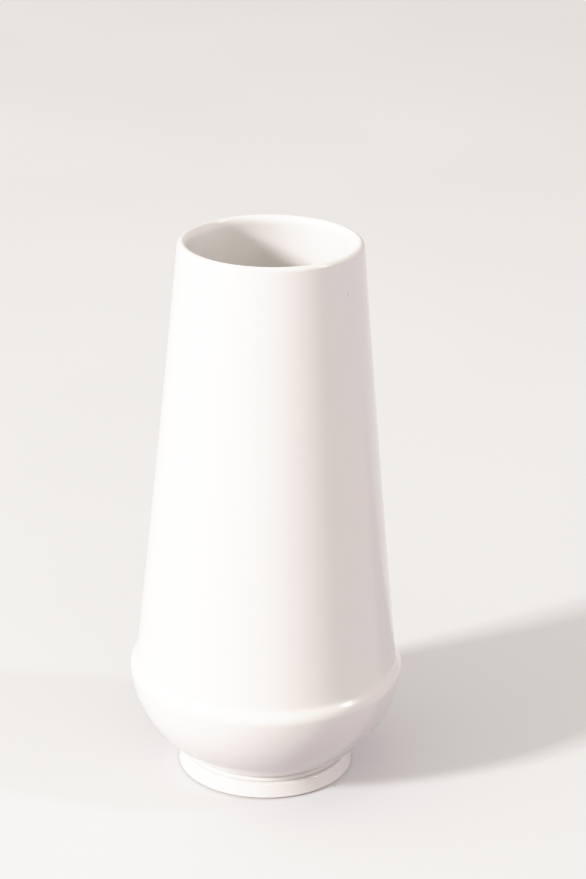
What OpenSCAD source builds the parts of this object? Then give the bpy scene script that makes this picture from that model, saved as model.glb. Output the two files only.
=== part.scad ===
// Glazed ceramic flower vase: a tall tapering body on a round bowl with a small foot ring.
// Millimetres, +Z up. The origin is the centre of the standing ring, on the surface it rests on,
// and every piece is turned round the Z axis. The body is three fired ceramic sections that were
// joined with slip at stepped seats, and it wears three coats of glaze.

/* [Body] */
// Overall height, from the standing ring to the crown of the lip
height = 240; // [225:1:260]
// Outer radius at the mouth
mouth_r = 38.7; // [36:0.1:42]
// Outer radius where the tapering side meets the shoulder
shoulder_r = 56.6; // [56.2:0.1:56.8]
// Height at which the tapering side meets the shoulder
shoulder_z = 53; // [53:0.1:54.5]
// How far the tapering side bows inwards at its middle
side_hollow = 0.4; // [0:0.1:2]

/* [Bowl] */
// Largest outer radius, at the rounded edge of the shoulder
belly_r = 59.5; // [59.2:0.1:59.8]
// Height of the largest radius
belly_z = 47.4; // [46.8:0.1:47.6]
// Radius of the shoulder's rounded edge
shoulder_edge_r = 5; // [4.5:0.1:5.3]
// How far that edge turns under before the bowl's own curve takes over, in degrees
edge_turn = 6; // [5:1:10]

/* [Foot] */
// Outer radius at the bottom of the foot
foot_r = 38.4; // [38:0.1:40]
// Outer radius at the top edge of the foot
foot_top_r = 37.4; // [37:0.1:37.9]
// Height of the foot's ledge under the neck
foot_h = 7.2; // [6.8:0.1:7.5]
// Radius of the rounding on the foot's top edge
foot_edge_r = 1; // [0.6:0.1:1.2]
// Radius of the short neck between the foot and the bowl
neck_r = 35.6; // [35.4:0.1:35.9]
// Height at which the neck meets the bowl
neck_z = 9.5; // [9.2:0.1:9.7]
// Inner radius of the foot ring at the bottom
ring_inner_r = 32.6; // [32:0.1:33]
// How far the inside of the foot ring leans inwards
ring_draft = 1.2; // [0.5:0.1:1.5]
// Depth of the recess under the base
recess_h = 5.5; // [5:0.1:5.8]
// Width of the bevels beside the standing face
foot_bevel = 0.8; // [0.4:0.1:1]

/* [Wall] */
// Wall at the lip, glaze included
lip_wall = 4; // [3.6:0.1:4.4]
// Wall at the bottom of the tapering side, glaze included
shoulder_wall = 4.8; // [4.6:0.1:5.4]
// Wall of the bowl, glaze included
bowl_wall = 5.2; // [4.8:0.1:5.3]
// Floor of the bowl, glaze included
floor_t = 5.5; // [5.5:0.1:7]
// Rounding of the lip's outer edge
lip_outer_r = 2; // [1.4:0.1:2]
// Depth over which the inside of the lip rounds off
lip_inner_h = 4; // [3:0.1:5]

/* [Glaze] */
// Thickness of each coat of glaze
glaze_t = 0.4; // [0.3:0.05:0.5]
// Height of the unglazed band at the bottom of the foot
bare_h = 0.8; // [0.8:0.1:1.2]
// How far the outer coat runs down inside the mouth
mouth_lap = 30; // [6:1:40]

/* [Seats] */
// Depth of the stepped seat between the tapering body and the bowl
body_seat_h = 3; // [2:0.5:3.5]
// Radius of that seat's step
body_seat_r = 55; // [54.9:0.1:55.2]
// Radius of the step in the seat between the bowl and the foot ring
foot_seat_r = 33.6; // [33.2:0.1:34]
// Height of the shelf in the foot ring that the bowl sits on
foot_shelf_z = 7.5; // [7:0.1:8]

/* [Hidden] */
$fn = 128;
arc_step = 3;
side_steps = 12;
floor_z = recess_h + floor_t;
inner_shoulder_z = shoulder_z + 2.2;
// The bowl's curve leaves the rounded edge smoothly and runs through the top of the neck
edge_centre = [belly_r - shoulder_edge_r, belly_z];
edge_under = [cos(edge_turn), -sin(edge_turn)];
edge_end = edge_centre + shoulder_edge_r * edge_under;
neck_to_edge = edge_end - [neck_r, neck_z];
bowl_curve_r = (neck_to_edge * neck_to_edge) / (2 * (edge_under * neck_to_edge));
bowl_centre = edge_end - bowl_curve_r * edge_under;

// Points along a circle's arc, in degrees, no further apart than arc_step
function arc(centre, radius, from, to) =
    let (steps = max(1, ceil(abs(to - from) / arc_step)))
    [for (i = [0:steps]) let (a = from + (to - from) * i / steps) centre + radius * [cos(a), sin(a)]];

function between(a, b, share) = a + (b - a) * share;

function reversed(points) = [for (i = [len(points) - 1:-1:0]) points[i]];

// Share of the way up the tapering side, 0 at the shoulder and 1 at the lip
function side_share(z) = (z - shoulder_z) / (height - shoulder_z);

// Outer radius of the tapering side: a straight taper with a slight inward bow
function side_r(z) =
    let (s = side_share(z))
    between(shoulder_r, mouth_r, s) - side_hollow * 4 * s * (1 - s);

function inner_r(z) = side_r(z) - between(shoulder_wall, lip_wall, side_share(z));

// Lean of the tapering side from the vertical, measured over a short stretch
function side_lean(z) = atan(side_r(z - 0.5) - side_r(z + 0.5));

// The concave fillet that joins the side to the shoulder's rounded edge. Its radius follows
// from touching the side at shoulder_z and the edge's circle from outside.
side_foot = [side_r(shoulder_z), shoulder_z];
side_normal = [cos(side_lean(shoulder_z)), sin(side_lean(shoulder_z))];
edge_to_side = side_foot - edge_centre;
fillet_r = (edge_to_side * edge_to_side - pow(shoulder_edge_r, 2))
    / (2 * (shoulder_edge_r - side_normal * edge_to_side));
fillet_centre = side_foot + fillet_r * side_normal;
fillet_angle = atan2(fillet_centre.y - edge_centre.y, fillet_centre.x - edge_centre.x);

// Each outline below takes a depth under the glazed surface: 0 is the glaze's own surface and
// glaze_t is the ceramic under it.

// The foot's outer side, from the edge of the glaze up to the neck
function foot_outline(depth) = concat(
    [[foot_r - depth, bare_h]],
    arc([foot_top_r - foot_edge_r, foot_h - foot_edge_r], foot_edge_r - depth, 0, 90),
    [[neck_r - depth, foot_h - depth]]);

function neck_angle(depth) = acos((neck_r - depth - bowl_centre.x) / (bowl_curve_r - depth));

// The bowl and the shoulder, from the neck up to the tapering side
function bowl_outline(depth) = concat(
    arc(bowl_centre, bowl_curve_r - depth, -neck_angle(depth), -edge_turn),
    arc(edge_centre, shoulder_edge_r - depth, arc_step - edge_turn, fillet_angle),
    arc(fillet_centre, fillet_r + depth, fillet_angle + 180 - arc_step, side_lean(shoulder_z) + 180));

lip_outer_z = height - lip_outer_r * (1 - sin(side_lean(height - lip_outer_r)));

// The lip, from the tapering side over the crown to the inside. Its outer edge is a circle's arc,
// and its inner edge is longer and runs smoothly into the wall.
function lip_outline(depth) =
    let (lean = side_lean(height - lip_outer_r),
         outer = [side_r(lip_outer_z) - lip_outer_r * cos(lean), height - lip_outer_r],
         inner_w = outer.x - inner_r(height))
    concat(
        arc(outer, lip_outer_r - depth, lean, 90),
        [for (turn = [arc_step:arc_step:90])
            let (z = height - lip_inner_h + (lip_inner_h - depth) * cos(turn))
            [inner_r(z) + depth + (inner_w - depth) * (1 - sin(turn)), z]]);

// The tapering side above the shoulder, up to the lip's rounding
function side_outline(depth) =
    [for (i = [1:side_steps - 1])
        let (z = between(shoulder_z, lip_outer_z, i / side_steps)) [side_r(z) - depth, z]];

// The inside of the tapering body, downwards between two heights
function inner_side(depth, z_top, z_bottom) =
    [for (i = [0:side_steps])
        let (z = between(z_top, z_bottom, i / side_steps)) [inner_r(z) + depth, z]];

// The inside of the shoulder, where the wall turns from the tapering body into the bowl
function inner_shoulder(depth, z) =
    let (top = [inner_r(inner_shoulder_z) + depth, inner_shoulder_z],
         bottom = edge_end - (bowl_wall - depth) * edge_under)
    between(bottom, top, (z - bottom.y) / (top.y - bottom.y));

// The inside of the bowl, from the belly down to the centre of the floor
function bowl_inside(depth) =
    let (radius = bowl_curve_r - bowl_wall + depth,
         floor_angle = asin((bowl_centre.y - floor_z + depth) / radius))
    concat(arc(bowl_centre, radius, -edge_turn, -floor_angle), [[0, floor_z - depth]]);

// The recess under the base, from the edge of the glaze to the centre
function recess_outline(depth) = [
    [ring_inner_r + depth, bare_h],
    [ring_inner_r - ring_draft + depth, recess_h + depth],
    [0, recess_h + depth]];

mouth_lap_z = height - mouth_lap;
bowl_skin = bowl_outline(glaze_t);
neck_top = bowl_skin[0];
seat_top = bowl_skin[len(bowl_skin) - 1];
seat_bottom_z = shoulder_z - body_seat_h;
disc_r = ring_inner_r - ring_draft + glaze_t;

// A solid turned round the Z axis from its half outline
module turned(outline) {
    rotate_extrude() polygon(outline);
}

// A coat of glaze between its surface and the ceramic under it
module coat(surface, under) {
    color("white") turned(concat(surface, reversed(under)));
}

module tapered_body() {
    color("ivory") turned(concat(
        [seat_top],
        side_outline(glaze_t),
        lip_outline(glaze_t),
        inner_side(glaze_t, mouth_lap_z, inner_shoulder_z),
        [inner_shoulder(glaze_t, seat_bottom_z), [body_seat_r, seat_bottom_z], [body_seat_r, seat_top.y]]));
}

module bowl_base() {
    color("ivory") turned(concat(
        bowl_skin,
        [[body_seat_r, seat_top.y], [body_seat_r, seat_bottom_z], inner_shoulder(glaze_t, seat_bottom_z)],
        bowl_inside(glaze_t),
        [[0, recess_h + glaze_t], [disc_r, recess_h + glaze_t], [disc_r, foot_shelf_z]],
        [[foot_seat_r, foot_shelf_z], [foot_seat_r, neck_top.y]]));
}

module foot_ring() {
    color("ivory") turned(concat(
        [[foot_r - glaze_t - foot_bevel, 0]],
        foot_outline(glaze_t),
        [neck_top, [foot_seat_r, neck_top.y], [foot_seat_r, foot_shelf_z], [disc_r, foot_shelf_z]],
        [recess_outline(glaze_t)[1], recess_outline(glaze_t)[0]],
        [[ring_inner_r + glaze_t + foot_bevel, 0]]));
}

// The outer coat, from the foot over the lip to the lap line inside the mouth
function outer_outline(depth) = concat(
    foot_outline(depth), bowl_outline(depth), side_outline(depth), lip_outline(depth),
    [[inner_r(mouth_lap_z) + depth, mouth_lap_z]]);

// The inner coat, from the lap line down to the centre of the floor
function inner_outline(depth) = concat(
    inner_side(depth, mouth_lap_z, inner_shoulder_z), bowl_inside(depth));

module outer_glaze() {
    coat(outer_outline(0), outer_outline(glaze_t));
}

module inner_glaze() {
    coat(inner_outline(0), inner_outline(glaze_t));
}

module base_glaze() {
    coat(recess_outline(0), recess_outline(glaze_t));
}

tapered_body();
bowl_base();
foot_ring();
outer_glaze();
inner_glaze();
base_glaze();
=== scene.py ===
"""Looks of the glazed ceramic flower vase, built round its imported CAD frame.

Each piece that replaces a CAD node is that node's outline, read back from the frame, softened the way
fired glaze is and turned round the vase's axis. Metres, +Z up, with the origin at the centre of the
standing ring.
"""
import math

import bpy
import numpy as np
from mathutils import Matrix, Vector


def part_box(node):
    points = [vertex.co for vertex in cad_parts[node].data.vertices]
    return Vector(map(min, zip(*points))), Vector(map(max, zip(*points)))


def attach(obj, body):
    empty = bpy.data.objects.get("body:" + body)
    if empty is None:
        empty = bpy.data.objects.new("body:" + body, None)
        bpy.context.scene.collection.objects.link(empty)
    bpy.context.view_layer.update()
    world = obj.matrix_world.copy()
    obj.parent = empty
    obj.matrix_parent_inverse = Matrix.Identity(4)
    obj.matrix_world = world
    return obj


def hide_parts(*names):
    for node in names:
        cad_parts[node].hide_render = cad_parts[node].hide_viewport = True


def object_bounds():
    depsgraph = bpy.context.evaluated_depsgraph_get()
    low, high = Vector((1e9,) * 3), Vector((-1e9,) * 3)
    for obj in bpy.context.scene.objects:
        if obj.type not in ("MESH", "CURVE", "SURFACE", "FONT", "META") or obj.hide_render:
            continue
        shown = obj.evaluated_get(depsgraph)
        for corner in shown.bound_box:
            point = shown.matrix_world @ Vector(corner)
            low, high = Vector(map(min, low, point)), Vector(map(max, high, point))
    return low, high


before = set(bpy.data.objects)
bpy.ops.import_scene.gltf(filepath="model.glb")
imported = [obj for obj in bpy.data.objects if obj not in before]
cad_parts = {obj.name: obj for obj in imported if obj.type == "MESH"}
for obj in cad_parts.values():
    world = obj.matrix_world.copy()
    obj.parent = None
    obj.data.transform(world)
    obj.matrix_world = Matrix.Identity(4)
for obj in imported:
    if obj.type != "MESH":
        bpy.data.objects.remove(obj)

MM = 0.001
SEGMENTS = 256
BODY = "root"

cad_low, cad_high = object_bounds()
height = cad_high.z
shoulder_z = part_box("bowl_base")[1].z
lap_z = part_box("inner_glaze")[1].z


# ---------------------------------------------------------------- outlines read from the frame

# Vertices of one ring fall in cells of this size, no more than so many cells apart
RING_CELL = 0.01 * MM
RING_SPREAD = 2.1


def cad_rings(node):
    """Radius and height of each ring of vertices in a turned CAD mesh, and which rings are neighbours."""
    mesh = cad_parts[node].data
    points = np.empty(len(mesh.vertices) * 3)
    mesh.vertices.foreach_get("co", points)
    points = points.reshape(-1, 3)
    polar = np.column_stack([np.hypot(points[:, 0], points[:, 1]), points[:, 2]])
    cells, owner = np.unique(np.round(polar / RING_CELL), axis=0, return_inverse=True)
    rings, ring_of_cell = [], []
    for cell in cells:
        near = [i for i, ring in enumerate(rings) if np.abs(ring - cell).max() < RING_SPREAD]
        if not near:
            rings.append(cell)
        ring_of_cell.append(near[0] if near else len(rings) - 1)
    ring_of_vertex = np.array(ring_of_cell)[owner.reshape(-1)]
    edges = np.empty(len(mesh.edges) * 2, dtype=int)
    mesh.edges.foreach_get("vertices", edges)
    pairs = np.sort(ring_of_vertex[edges].reshape(-1, 2), axis=1)
    links = {i: set() for i in range(len(rings))}
    for a, b in np.unique(pairs[pairs[:, 0] != pairs[:, 1]], axis=0):
        links[int(a)].add(int(b))
        links[int(b)].add(int(a))
    sizes = np.array([polar[ring_of_vertex == i].mean(axis=0) for i in range(len(rings))])
    return sizes, links


def cad_outline(node):
    """A node's half outline in order, and whether it closes on itself away from the axis."""
    rings, links = cad_rings(node)
    ends = [i for i, near in links.items() if len(near) == 1]
    start = ends[0] if ends else 0
    order, last = [start], None
    while True:
        ahead = [i for i in links[order[-1]] if i != last and i != start]
        if not ahead:
            break
        last = order[-1]
        order.append(ahead[0])
    outline = rings[order]
    if ends:
        outline = np.vstack([[0, outline[0, 1]], outline, [0, outline[-1, 1]]])
    return outline, not ends


def even_spacing(outline, closed, gap):
    """The outline with points about gap apart all along it."""
    path = np.vstack([outline, outline[:1]]) if closed else outline
    along = np.concatenate([[0], np.cumsum(np.hypot(*np.diff(path, axis=0).T))])
    count = int(round(along[-1] / gap))
    stops = np.linspace(0, along[-1], count, endpoint=not closed)
    return np.column_stack([np.interp(stops, along, path[:, k]) for k in (0, 1)])


def softened(outline, closed, gap, radius):
    """The outline rounded off over about radius, as surface tension rounds a melted glaze.

    Each point becomes a bell-weighted mean of its neighbours, out to four radii. An open outline is
    mirrored at its ends, which lie on the axis.
    """
    reach = int(4 * radius / gap)
    weights = np.exp(-0.5 * (np.arange(-reach, reach + 1) * gap / radius) ** 2)
    weights /= weights.sum()
    if closed:
        padded = np.vstack([outline[-reach:], outline, outline[:reach]])
    else:
        mirror = np.array([-1, 1])
        padded = np.vstack([outline[reach:0:-1] * mirror, outline, outline[-2:-reach - 2:-1] * mirror])
    return np.column_stack([np.convolve(column, weights, mode="valid") for column in padded.T])


def swept_area(outline):
    """Twice the area inside the outline: above 0 where it runs anticlockwise in the half plane."""
    nxt = np.roll(outline, -1, axis=0)
    return np.sum(outline[:, 0] * nxt[:, 1] - outline[:, 1] * nxt[:, 0])


def bend(outline, closed):
    """Curvature along an evenly spaced outline, in radians per metre: above 0 on an outside edge."""
    ahead = np.roll(outline, -1, axis=0) - outline
    behind = outline - np.roll(outline, 1, axis=0)
    cross = behind[:, 0] * ahead[:, 1] - behind[:, 1] * ahead[:, 0]
    length = np.hypot(*ahead.T) * np.hypot(*behind.T) * 0.5 * (np.hypot(*ahead.T) + np.hypot(*behind.T))
    curvature = cross / np.maximum(length, 1e-15)
    curvature *= np.sign(swept_area(outline))
    if not closed:
        curvature[[0, -1]] = curvature[[1, -2]]
    return curvature


def thinned(outline, depth, max_turn, max_gap, max_fade):
    """Which points to keep: close together where the outline bends or its glaze depth changes."""
    step = np.diff(outline, axis=0)
    heading = np.unwrap(np.arctan2(step[:, 1], step[:, 0]))
    gap = np.hypot(*step.T)
    keep, travelled, faced, shade = [0], 0.0, heading[0], depth[0]
    for i in range(1, len(outline) - 1):
        travelled += gap[i - 1]
        if abs(heading[i] - faced) > max_turn or abs(depth[i] - shade) > max_fade or travelled > max_gap:
            keep.append(i)
            travelled, faced, shade = 0.0, heading[i], depth[i]
    keep.append(len(outline) - 1)
    return keep


# ---------------------------------------------------------------- turned meshes

# A point closer to the axis than this lies on it
ON_AXIS = 1e-7
UNEVEN_LIP = 0.30 * MM
UNEVEN_FOOT = 0.10 * MM
LIP_DIP = 0.20 * MM
# The unevenness fades out within this radius
STEADY_RADIUS = 10 * MM
SHARP_ANGLE = math.radians(50)
# For each wave round the wall: its share, how many times it goes round, its start, and its twist with height
WALL_WAVES = ((0.60, 2, 0.7, 0.0), (0.28, 3, -1.1, 2.0), (0.12, 5, 2.3, -3.0))


def unevenness(angle, level):
    """How far a real wall sits inside the true circle: a slight oval, a little stronger at the mouth."""
    wave = sum(share * np.cos(count * angle + start + twist * level)
               for share, count, start, twist in WALL_WAVES)
    return (UNEVEN_FOOT + (UNEVEN_LIP - UNEVEN_FOOT) * level ** 2) * 0.5 * (1 + wave)


def sag_of_lip(angle, level):
    """How far the crown of the lip dips below its true height, twice round and only near the top."""
    return LIP_DIP * 0.5 * (1 + np.cos(2 * angle - 0.4)) * level ** 12


def turned(name, outline, closed, depth):
    """A solid turned round the Z axis from its half outline, with the slight unevenness of a real pot.

    depth is the glaze_depth of each outline point, which the materials read.
    """
    angles = np.linspace(0, 2 * math.pi, SEGMENTS, endpoint=False)
    vertices, rows, values = [], [], []
    for (radius, z), value in zip(outline, depth):
        if radius < ON_AXIS:
            rows.append([len(vertices)])
            vertices.append((0, 0, z))
            values.append(value)
            continue
        level = min(1.0, max(0.0, z / height))
        reach = radius - unevenness(angles, level) * min(1.0, radius / STEADY_RADIUS)
        rows.append(list(range(len(vertices), len(vertices) + SEGMENTS)))
        vertices += list(zip(reach * np.cos(angles), reach * np.sin(angles), z - sag_of_lip(angles, level)))
        values += [value] * SEGMENTS
    faces = []
    following = rows[1:] + rows[:1] if closed else rows[1:]
    for low, high in zip(rows, following):
        for i in range(SEGMENTS):
            j = (i + 1) % SEGMENTS
            corners = [low[i % len(low)], low[j % len(low)], high[j % len(high)], high[i % len(high)]]
            faces.append(list(dict.fromkeys(corners)))
    mesh = bpy.data.meshes.new(name)
    mesh.from_pydata(vertices, [], faces)
    if swept_area(outline) < 0:
        mesh.flip_normals()
    mesh.attributes.new("glaze_depth", "FLOAT", "POINT").data.foreach_set("value", values)
    mesh.polygons.foreach_set("use_smooth", [True] * len(mesh.polygons))
    mesh.set_sharp_from_angle(angle=SHARP_ANGLE)
    mesh.update()
    piece = bpy.data.objects.new(name, mesh)
    bpy.context.scene.collection.objects.link(piece)
    return piece


FINE_GAP = 0.05 * MM
# Glaze runs thicker round the shoulder, within about this height of it
SHOULDER_ROUNDING = 1.0 * MM
SHOULDER_REACH = 6 * MM
# An outline stays sharp this close to its neighbour, and its softening grows over the fade beyond
FLUSH_KEEP = 0.3 * MM
FLUSH_FADE = 1.5 * MM
# Glaze pools over about this distance, and is deepest in a hollow of half POOL_BEND radians per metre; there
# the materials darken the colour, partly for pooled glaze and partly as painted crease shade
POOL_REACH = 0.25 * MM
POOL_BEND = 1800
# The most by which one kept outline point may turn, part or change in glaze depth from the last
MAX_TURN = math.radians(4.5)
MAX_GAP = 3.5 * MM
MAX_FADE = 0.1


def soft_outline(even, closed, rounding, flush_z):
    """An evenly spaced outline softened by rounding, more round the shoulder and not at flush_z."""
    soft = softened(even, closed, FINE_GAP, rounding)
    runny = np.exp(-((even[:, 1] - shoulder_z) / SHOULDER_REACH) ** 2)[:, None]
    soft += (softened(even, closed, FINE_GAP, SHOULDER_ROUNDING) - soft) * runny
    if flush_z is not None:
        away = np.clip((np.abs(even[:, 1] - flush_z) - FLUSH_KEEP) / FLUSH_FADE, 0, 1)[:, None]
        soft = even + (soft - even) * away
    soft[:, 0] = np.maximum(soft[:, 0], 0)
    if not closed:
        soft[[0, -1], 0] = 0
    return soft


def glaze_depth(even, closed):
    """From 0 on thin, tightly rounded edges to 1 in the corners where glaze pools and the materials paint
    crease shade.
    """
    bends = bend(softened(even, closed, FINE_GAP, POOL_REACH), closed)
    pooled = softened(bends[:, None], True, FINE_GAP, POOL_REACH)[:, 0]
    return np.clip(0.5 - pooled / POOL_BEND, 0, 1)


def pot_skin(name, node, rounding, flush_z=None):
    """A piece that stands for a CAD node: its outline softened by rounding and turned.

    The outline stays sharp where it meets its neighbour at height flush_z.
    """
    outline, closed = cad_outline(node)
    even = even_spacing(outline, closed, FINE_GAP)
    soft = soft_outline(even, closed, rounding, flush_z)
    depth = glaze_depth(even, closed)
    keep = thinned(soft, depth, MAX_TURN, MAX_GAP, MAX_FADE)
    if closed:
        keep = keep[:-1]
    piece = turned(name, soft[keep], closed, depth[keep])
    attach(piece, BODY)
    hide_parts(node)
    return piece


# ---------------------------------------------------------------- materials

# The colour sockets of a Mix node
MIX_A, MIX_B, MIX_RESULT = 6, 7, 2


class Nodes:
    """Short calls for building a node tree."""

    def __init__(self, material):
        material.use_nodes = True
        self.tree = material.node_tree
        self.tree.nodes.clear()
        self.shader = self.add("ShaderNodeBsdfPrincipled")
        output = self.add("ShaderNodeOutputMaterial")
        self.link(self.shader, "BSDF", output, "Surface")
        self.place = self.add("ShaderNodeTexCoord")

    def add(self, kind, **settings):
        node = self.tree.nodes.new(kind)
        for key, value in settings.items():
            setattr(node, key, value)
        return node

    def link(self, source, output, target, socket):
        self.tree.links.new(source.outputs[output], target.inputs[socket])

    def noise(self, size, detail=2.0, roughness=0.5, distortion=0.0):
        """Noise whose features are about size across, in metres."""
        node = self.add("ShaderNodeTexNoise")
        node.inputs["Scale"].default_value = 1 / size
        node.inputs["Detail"].default_value = detail
        node.inputs["Roughness"].default_value = roughness
        node.inputs["Distortion"].default_value = distortion
        self.link(self.place, "Object", node, "Vector")
        return node

    def ramp(self, source, output, low, high, to_low=0.0, to_high=1.0):
        node = self.add("ShaderNodeMapRange", interpolation_type="SMOOTHSTEP")
        for socket, value in zip(("From Min", "From Max", "To Min", "To Max"), (low, high, to_low, to_high)):
            node.inputs[socket].default_value = value
        self.link(source, output, node, "Value")
        return node

    def mix(self, factor, a, b):
        """Colour a where factor is 0 and b where it is 1. Either may be a colour or a node."""
        node = self.add("ShaderNodeMix", data_type="RGBA")
        self.tree.links.new(factor.outputs[0], node.inputs[0])
        for socket, value in ((MIX_A, a), (MIX_B, b)):
            if isinstance(value, tuple):
                node.inputs[socket].default_value = (*value, 1)
            else:
                self.tree.links.new(value.outputs[MIX_RESULT], node.inputs[socket])
        return node

    def bump(self, source, output, height, strength=1.0, under=None):
        node = self.add("ShaderNodeBump")
        node.inputs["Strength"].default_value = strength
        node.inputs["Distance"].default_value = height
        self.link(source, output, node, "Height")
        if under is not None:
            self.link(under, "Normal", node, "Normal")
        return node


# Darker colour for tight creases: partly glaze pooling, partly painted crease shade
POOLED_GLAZE_AND_CREASE_SHADE = (0.66, 0.63, 0.62)
PINHOLE = (0.42, 0.36, 0.30)


def glaze_material(name, cool, warm, thin):
    """Glossy off-white glaze: cool and warm clouds, the thin colour on tight edges, darker in tight creases
    where it pools, partly glaze pooling and partly painted crease shade, with a faint ripple and a few
    pinholes."""
    material = bpy.data.materials.new(name)
    nodes = Nodes(material)
    cloud = nodes.ramp(nodes.noise(55 * MM, 2.0), 0, 0.35, 0.65)
    base = nodes.mix(cloud, cool, warm)
    depth = nodes.add("ShaderNodeAttribute", attribute_name="glaze_depth")
    edge = nodes.ramp(depth, "Fac", 0.15, 0.45, 1.0, 0.0)
    base = nodes.mix(edge, base, thin)
    # Painted crease shade, partly glaze pooling: the colour darkens in the tightest hollows
    pool_and_crease_shade = nodes.ramp(depth, "Fac", 0.80, 1.0)
    base = nodes.mix(pool_and_crease_shade, base, POOLED_GLAZE_AND_CREASE_SHADE)
    spread = nodes.add("ShaderNodeTexVoronoi")
    spread.inputs["Scale"].default_value = 1 / (17 * MM)
    nodes.link(nodes.place, "Object", spread, "Vector")
    pinhole = nodes.ramp(spread, "Distance", 0.010, 0.026, 1.0, 0.0)
    base = nodes.mix(pinhole, base, PINHOLE)
    nodes.link(base, MIX_RESULT, nodes.shader, "Base Color")
    sheen = nodes.ramp(nodes.noise(18 * MM, 3.0), 0, 0.3, 0.7, 0.15, 0.20)
    nodes.link(sheen, 0, nodes.shader, "Roughness")
    nodes.shader.inputs["IOR"].default_value = 1.5
    nodes.shader.inputs["Coat Weight"].default_value = 0.5
    nodes.shader.inputs["Coat Roughness"].default_value = 0.10
    nodes.shader.inputs["Coat IOR"].default_value = 1.5
    ripple = nodes.bump(nodes.noise(22 * MM, 1.0), 0, 0.10 * MM)
    peel = nodes.bump(nodes.noise(2.2 * MM, 2.0), 0, 0.004 * MM, 1.0, ripple)
    pits = nodes.bump(pinhole, 0, -0.10 * MM, 1.0, peel)
    nodes.link(pits, "Normal", nodes.shader, "Normal")
    return material


def bisque_material(name):
    """Bare fired clay: matt cream with a fine sandy grain and a few rust specks."""
    material = bpy.data.materials.new(name)
    nodes = Nodes(material)
    cloud = nodes.ramp(nodes.noise(14 * MM, 4.0), 0, 0.3, 0.7)
    base = nodes.mix(cloud, (0.66, 0.59, 0.49), (0.74, 0.68, 0.59))
    grit = nodes.ramp(nodes.noise(0.9 * MM, 2.0), 0, 0.62, 0.75)
    base = nodes.mix(grit, base, (0.50, 0.40, 0.30))
    nodes.link(base, MIX_RESULT, nodes.shader, "Base Color")
    dry = nodes.ramp(nodes.noise(4 * MM, 2.0), 0, 0.3, 0.7, 0.72, 0.88)
    nodes.link(dry, 0, nodes.shader, "Roughness")
    grain = nodes.bump(nodes.noise(0.5 * MM, 3.0), 0, 0.05 * MM)
    nodes.link(grain, "Normal", nodes.shader, "Normal")
    return material


def floor_material():
    """Pale, almost matt studio floor."""
    material = bpy.data.materials.new("studio_floor")
    nodes = Nodes(material)
    cloud = nodes.ramp(nodes.noise(0.4, 2.0), 0, 0.3, 0.7)
    base = nodes.mix(cloud, (0.75, 0.76, 0.77), (0.775, 0.785, 0.795))
    nodes.link(base, MIX_RESULT, nodes.shader, "Base Color")
    nodes.shader.inputs["Roughness"].default_value = 0.75
    nodes.shader.inputs["Specular IOR Level"].default_value = 0.2
    return material


# ---------------------------------------------------------------- the vase

outer_glaze = glaze_material(
    "outer_glaze_white", cool=(0.895, 0.875, 0.855), warm=(0.90, 0.875, 0.845), thin=(0.90, 0.875, 0.845))
inner_glaze = glaze_material(
    "inner_glaze_white", cool=(0.90, 0.867, 0.815), warm=(0.905, 0.868, 0.81), thin=(0.90, 0.865, 0.81))
bisque = bisque_material("bare_fired_clay")

for name, node, rounding, material, slot, flush in (
        ("glaze_coat_outside", "outer_glaze", 0.25 * MM, outer_glaze, "glaze", lap_z),
        ("glaze_coat_inside", "inner_glaze", 0.60 * MM, inner_glaze, "glaze", lap_z),
        ("glaze_coat_under_base", "base_glaze", 0.12 * MM, outer_glaze, "glaze", None),
        ("turned_foot_ring", "foot_ring", 0.12 * MM, bisque, "fired_clay", None)):
    piece = pot_skin(name, node, rounding, flush_z=flush)
    piece.data.materials.append(material)

# The glaze covers these two, so they keep their CAD shape
for node in ("tapered_body", "bowl_base"):
    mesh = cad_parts[node].data
    mesh.materials.clear()
    mesh.materials.append(bisque)


# ---------------------------------------------------------------- floor, light and camera

# The view curve that acts on red, green and blue alike
ALL_CHANNELS = 3


def floor(half):
    """A square floor that takes the vase's shadow. It throws no diffuse light back: studio_air does that."""
    corners = [(-half, -half, 0), (half, -half, 0), (half, half, 0), (-half, half, 0)]
    mesh = bpy.data.meshes.new("floor")
    mesh.from_pydata(corners, [], [(0, 1, 2, 3)])
    mesh.materials.append(floor_material())
    piece = bpy.data.objects.new("floor", mesh)
    bpy.context.scene.collection.objects.link(piece)
    piece.visible_diffuse = False


def around(azimuth, elevation, distance, centre):
    """A point seen from centre: azimuth 0 is towards -Y and positive is towards +X, in degrees."""
    a, e = math.radians(azimuth), math.radians(elevation)
    return Vector((math.sin(a) * math.cos(e), -math.cos(a) * math.cos(e), math.sin(e))) * distance + centre


def softbox(name, azimuth, elevation, distance, size, power, colour=(1, 1, 1)):
    """A rectangular lamp that faces the middle of the vase."""
    centre = Vector((0, 0, height / 2))
    lamp = bpy.data.lights.new(name, "AREA")
    lamp.shape = "RECTANGLE"
    lamp.size, lamp.size_y = size
    lamp.energy = power
    lamp.color = colour
    light = bpy.data.objects.new(name, lamp)
    light.location = around(azimuth, elevation, distance, centre)
    light.rotation_euler = (centre - light.location).to_track_quat("-Z", "Y").to_euler()
    bpy.context.scene.collection.objects.link(light)


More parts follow.
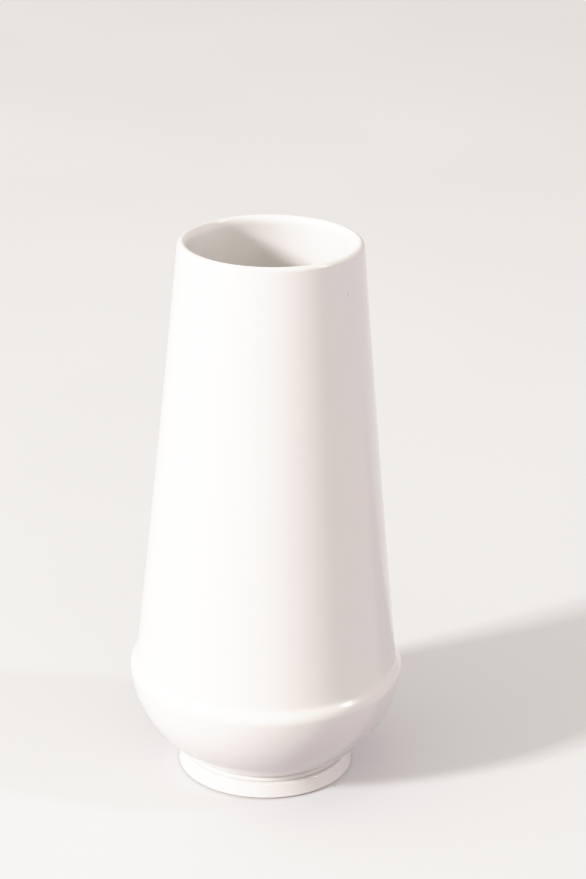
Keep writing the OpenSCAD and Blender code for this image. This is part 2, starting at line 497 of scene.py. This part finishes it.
def studio_air(towards, dim, bright):
    """Light from all round, growing from the colour dim to the colour bright in the direction towards."""
    world = bpy.data.worlds.new("studio_air")
    world.use_nodes = True
    tree = world.node_tree
    place = tree.nodes.new("ShaderNodeTexCoord")
    facing = tree.nodes.new("ShaderNodeVectorMath")
    facing.operation = "DOT_PRODUCT"
    facing.inputs[1].default_value = Vector(towards).normalized()
    rise = tree.nodes.new("ShaderNodeMapRange")
    rise.inputs["From Min"].default_value = -1
    blend = tree.nodes.new("ShaderNodeMix")
    blend.data_type = "RGBA"
    blend.inputs[MIX_A].default_value = (*dim, 1)
    blend.inputs[MIX_B].default_value = (*bright, 1)
    tree.links.new(place.outputs["Generated"], facing.inputs[0])
    tree.links.new(facing.outputs["Value"], rise.inputs["Value"])
    tree.links.new(rise.outputs["Result"], blend.inputs[0])
    tree.links.new(blend.outputs[MIX_RESULT], tree.nodes["Background"].inputs["Color"])
    bpy.context.scene.world = world


def soft_highlights(brightest, roll_off):
    """Standard colours up to a light grey, and above it a gentle roll-off in place of clipping.

    roll_off holds pairs of the light and what it shows as. The curve is straight up to the first pair and
    reaches white at brightest.
    """
    view = bpy.context.scene.view_settings
    view.view_transform = "Standard"
    view.use_curve_mapping = True
    view.curve_mapping.white_level = (brightest, brightest, brightest)
    curve = view.curve_mapping.curves[ALL_CHANNELS]
    curve.points[0].location = (0, 0)
    curve.points[1].location = (1, 1)
    for light, shown in roll_off:
        curve.points.new(light / brightest, shown)
    for point in list(curve.points)[:2]:
        point.handle_type = "VECTOR"
    view.curve_mapping.update()


def camera(distance, level, yaw, pitch, roll, lens):
    """A camera at the photograph's angle, distance in front of the axis and level above the floor.

    Angles are in degrees: yaw to the right, pitch downwards and roll anticlockwise.
    """
    data = bpy.data.cameras.new("camera")
    data.lens = lens
    data.sensor_width = 36
    data.clip_end = 50
    eye = bpy.data.objects.new("camera", data)
    yaw, pitch, roll = (math.radians(angle) for angle in (yaw, pitch, roll))
    turn = (Matrix.Rotation(-yaw, 4, "Z") @ Matrix.Rotation(math.pi / 2 - pitch, 4, "X")
            @ Matrix.Rotation(roll, 4, "Z"))
    eye.matrix_world = Matrix.Translation((0, -distance, level)) @ turn
    bpy.context.scene.collection.objects.link(eye)
    bpy.context.scene.camera = eye


floor(half=4.0)
camera(distance=4.0 * height, level=2.223 * height, yaw=0.610, pitch=21.667, roll=0.884, lens=100)
softbox(
    "key", azimuth=-59.5, elevation=22, distance=5.0, size=(0.6, 0.8), power=240, colour=(1.0, 0.995, 1.0))
softbox("kicker", azimuth=78, elevation=38, distance=3.0, size=(0.25, 0.9), power=12)
studio_air(towards=(-0.4, -0.25, 0.88), dim=(0.345, 0.262, 0.332), bright=(0.905, 0.855, 0.770))
soft_highlights(
    brightest=1.5, roll_off=((0.60, 0.60), (0.75, 0.745), (0.87, 0.845), (1.0, 0.925), (1.2, 0.975)))
